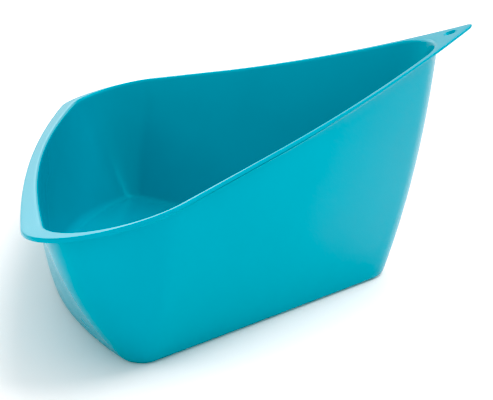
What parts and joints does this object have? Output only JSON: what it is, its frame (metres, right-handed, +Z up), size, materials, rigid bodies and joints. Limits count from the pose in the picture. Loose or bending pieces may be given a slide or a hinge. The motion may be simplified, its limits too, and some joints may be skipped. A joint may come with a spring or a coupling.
{
  "type": "kidney dish",
  "caption": "Deep one-piece moulded plastic dish with a rounded triangular plan, a low end with a wide rim, and a high pointed end with a hanging hole.",
  "frame": {"origin": "middle of the overall box, on the plane that the floor stands on", "axes": "+X along the plane of symmetry towards the high tip, +Y to the left when facing the tip, +Z up out of the dish"},
  "size_m": [0.2499, 0.3604, 0.1497],
  "materials": {
    "shell_plastic": "glossy turquoise moulded plastic"
  },
  "bodies": {
    "root": {"dish_shell": "shell_plastic"}
  },
  "joints": []
}
